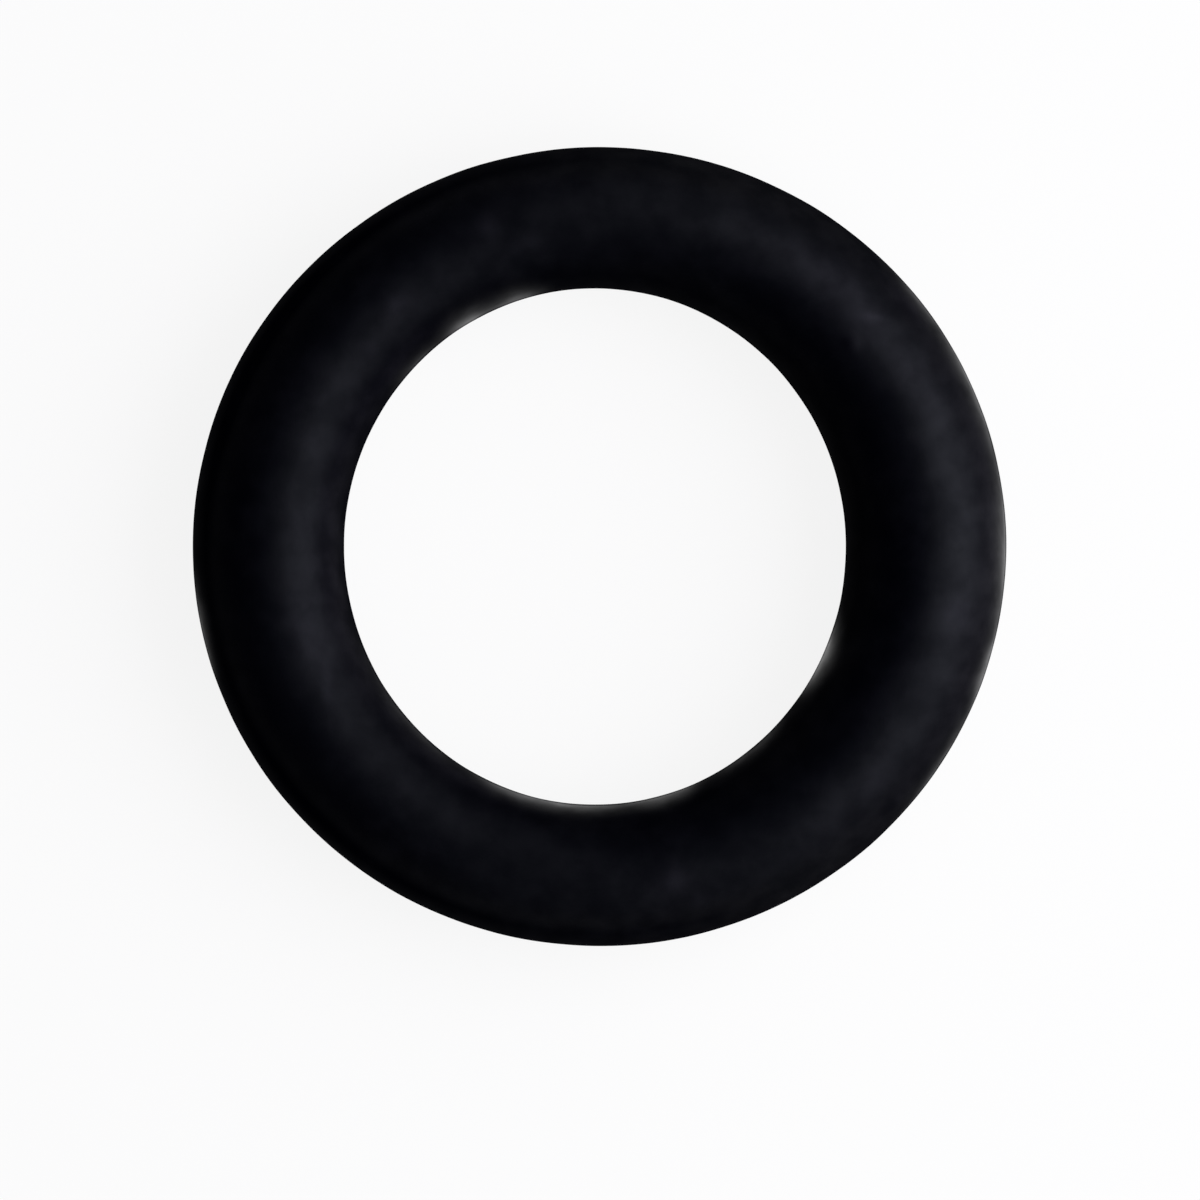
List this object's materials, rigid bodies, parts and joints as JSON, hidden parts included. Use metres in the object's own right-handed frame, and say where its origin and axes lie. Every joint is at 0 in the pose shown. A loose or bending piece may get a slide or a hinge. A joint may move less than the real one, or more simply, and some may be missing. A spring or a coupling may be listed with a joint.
{
  "type": "rubber o-ring",
  "caption": "Round-section rubber sealing ring: a closed loop of solid black cord that seals a shaft, a bore or a flat joint when it is squeezed.",
  "frame": {"origin": "centre of the ring, halfway up its cord", "axes": "+Z along the ring's axis, through the hole; the ring lies flat in the XY plane, with its lowest circle 1.75 mm below the origin. It is the same all the way round, so X and Y are any two directions across it"},
  "size_m": [0.019, 0.019, 0.0034],
  "materials": {
    "black_rubber": "satin moulded black rubber, smooth, with a soft broad highlight"
  },
  "bodies": {
    "root": {"o_ring": "black_rubber"}
  },
  "joints": []
}
